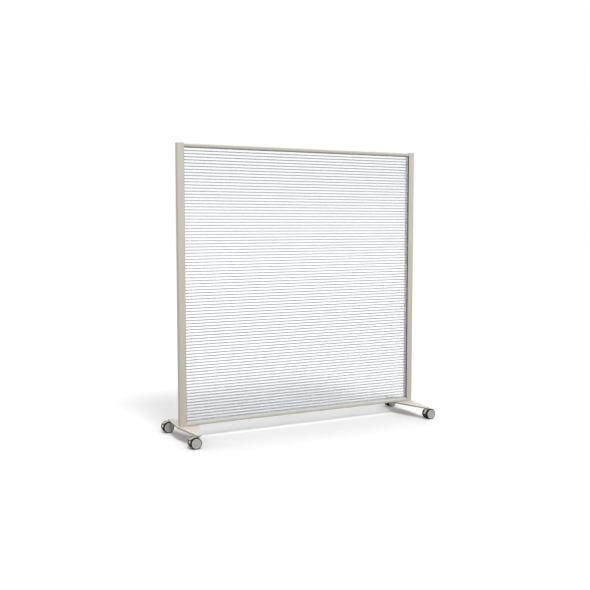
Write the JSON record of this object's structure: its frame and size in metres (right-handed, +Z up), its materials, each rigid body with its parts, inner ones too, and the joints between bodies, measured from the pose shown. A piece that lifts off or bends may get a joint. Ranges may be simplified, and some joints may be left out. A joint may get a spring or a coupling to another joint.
{
  "type": "rolling partition",
  "caption": "Free-standing room divider: a slim square frame round a clear fluted sheet, on two wing feet with braked swivel casters.",
  "frame": {"origin": "on the floor, under the middle of the screen", "axes": "+Z up, X along the screen's width, -Y towards the side that the picture shows"},
  "size_m": [1.6528, 0.4856, 1.679],
  "materials": {
    "powder_coat": "warm light grey powder coat, satin, on extruded and cast aluminium",
    "rail_coat": "warm light grey powder coat, satin",
    "clear_sheet": "clear polycarbonate, glossy, with level flutes",
    "gasket_rubber": "black, matte",
    "zinc_steel": "zinc plated, dull",
    "caster_housing": "silver grey moulded nylon",
    "wheel_hub": "grey moulded nylon",
    "tyre": "black rubber, matte"
  },
  "bodies": {
    "screen": {"left_post": "powder_coat", "right_post": "powder_coat", "left_post_cap": "powder_coat", "right_post_cap": "powder_coat", "top_rail": "rail_coat", "bottom_rail": "rail_coat", "fluted_sheet": "clear_sheet", "left_gasket": "gasket_rubber", "right_gasket": "gasket_rubber", "top_gasket": "gasket_rubber", "bottom_gasket": "gasket_rubber", "corner_cleats": "zinc_steel", "cleat_screws": "zinc_steel", "left_foot": "powder_coat", "right_foot": "powder_coat", "post_bolts": "zinc_steel", "rail_bolts": "zinc_steel", "caster_spindles": "zinc_steel"},
    "front_left_caster": {"front_left_caster_housing": "caster_housing", "front_left_caster_axle": "zinc_steel", "front_left_caster_pedal_pin": "zinc_steel"},
    "front_left_caster_brake": {"front_left_caster_brake_pedal": "caster_housing"},
    "front_left_caster_front_wheel": {"front_left_caster_front_hub": "wheel_hub", "front_left_caster_front_tyre": "tyre"},
    "front_left_caster_rear_wheel": {"front_left_caster_rear_hub": "wheel_hub", "front_left_caster_rear_tyre": "tyre"},
    "rear_left_caster": {"rear_left_caster_housing": "caster_housing", "rear_left_caster_axle": "zinc_steel", "rear_left_caster_pedal_pin": "zinc_steel"},
    "rear_left_caster_brake": {"rear_left_caster_brake_pedal": "caster_housing"},
    "rear_left_caster_front_wheel": {"rear_left_caster_front_hub": "wheel_hub", "rear_left_caster_front_tyre": "tyre"},
    "rear_left_caster_rear_wheel": {"rear_left_caster_rear_hub": "wheel_hub", "rear_left_caster_rear_tyre": "tyre"},
    "front_right_caster": {"front_right_caster_housing": "caster_housing", "front_right_caster_axle": "zinc_steel", "front_right_caster_pedal_pin": "zinc_steel"},
    "front_right_caster_brake": {"front_right_caster_brake_pedal": "caster_housing"},
    "front_right_caster_front_wheel": {"front_right_caster_front_hub": "wheel_hub", "front_right_caster_front_tyre": "tyre"},
    "front_right_caster_rear_wheel": {"front_right_caster_rear_hub": "wheel_hub", "front_right_caster_rear_tyre": "tyre"},
    "rear_right_caster": {"rear_right_caster_housing": "caster_housing", "rear_right_caster_axle": "zinc_steel", "rear_right_caster_pedal_pin": "zinc_steel"},
    "rear_right_caster_brake": {"rear_right_caster_brake_pedal": "caster_housing"},
    "rear_right_caster_front_wheel": {"rear_right_caster_front_hub": "wheel_hub", "rear_right_caster_front_tyre": "tyre"},
    "rear_right_caster_rear_wheel": {"rear_right_caster_rear_hub": "wheel_hub", "rear_right_caster_rear_tyre": "tyre"}
  },
  "joints": [
    {"name": "front_left_caster_swivel", "type": "hinge", "parent": "screen", "child": "front_left_caster", "pos_m": [-0.77, -0.216, 0.05], "axis": [0, 0, 1], "continuous": true},
    {"name": "front_left_caster_front_wheel_spin", "type": "hinge", "parent": "front_left_caster", "child": "front_left_caster_front_wheel", "pos_m": [-0.792, -0.216, 0.0325], "axis": [0, 1, 0], "continuous": true},
    {"name": "front_left_caster_rear_wheel_spin", "type": "hinge", "parent": "front_left_caster", "child": "front_left_caster_rear_wheel", "pos_m": [-0.792, -0.216, 0.0325], "axis": [0, 1, 0], "continuous": true},
    {"name": "front_left_caster_brake_hinge", "type": "hinge", "parent": "front_left_caster", "child": "front_left_caster_brake", "pos_m": [-0.79847, -0.216, 0.05665], "axis": [0, -1, 0], "range_deg": [0, 11]},
    {"name": "rear_left_caster_swivel", "type": "hinge", "parent": "screen", "child": "rear_left_caster", "pos_m": [-0.77, 0.216, 0.05], "axis": [0, 0, 1], "continuous": true},
    {"name": "rear_left_caster_front_wheel_spin", "type": "hinge", "parent": "rear_left_caster", "child": "rear_left_caster_front_wheel", "pos_m": [-0.792, 0.216, 0.0325], "axis": [0, 1, 0], "continuous": true},
    {"name": "rear_left_caster_rear_wheel_spin", "type": "hinge", "parent": "rear_left_caster", "child": "rear_left_caster_rear_wheel", "pos_m": [-0.792, 0.216, 0.0325], "axis": [0, 1, 0], "continuous": true},
    {"name": "rear_left_caster_brake_hinge", "type": "hinge", "parent": "rear_left_caster", "child": "rear_left_caster_brake", "pos_m": [-0.79847, 0.216, 0.05665], "axis": [0, -1, 0], "range_deg": [0, 11]},
    {"name": "front_right_caster_swivel", "type": "hinge", "parent": "screen", "child": "front_right_caster", "pos_m": [0.77, -0.216, 0.05], "axis": [0, 0, 1], "continuous": true},
    {"name": "front_right_caster_front_wheel_spin", "type": "hinge", "parent": "front_right_caster", "child": "front_right_caster_front_wheel", "pos_m": [0.792, -0.216, 0.0325], "axis": [0, 1, 0], "continuous": true},
    {"name": "front_right_caster_rear_wheel_spin", "type": "hinge", "parent": "front_right_caster", "child": "front_right_caster_rear_wheel", "pos_m": [0.792, -0.216, 0.0325], "axis": [0, 1, 0], "continuous": true},
    {"name": "front_right_caster_brake_hinge", "type": "hinge", "parent": "front_right_caster", "child": "front_right_caster_brake", "pos_m": [0.79847, -0.216, 0.05665], "axis": [0, 1, 0], "range_deg": [0, 11]},
    {"name": "rear_right_caster_swivel", "type": "hinge", "parent": "screen", "child": "rear_right_caster", "pos_m": [0.77, 0.216, 0.05], "axis": [0, 0, 1], "continuous": true},
    {"name": "rear_right_caster_front_wheel_spin", "type": "hinge", "parent": "rear_right_caster", "child": "rear_right_caster_front_wheel", "pos_m": [0.792, 0.216, 0.0325], "axis": [0, 1, 0], "continuous": true},
    {"name": "rear_right_caster_rear_wheel_spin", "type": "hinge", "parent": "rear_right_caster", "child": "rear_right_caster_rear_wheel", "pos_m": [0.792, 0.216, 0.0325], "axis": [0, 1, 0], "continuous": true},
    {"name": "rear_right_caster_brake_hinge", "type": "hinge", "parent": "rear_right_caster", "child": "rear_right_caster_brake", "pos_m": [0.79847, 0.216, 0.05665], "axis": [0, 1, 0], "range_deg": [0, 11]}
  ]
}
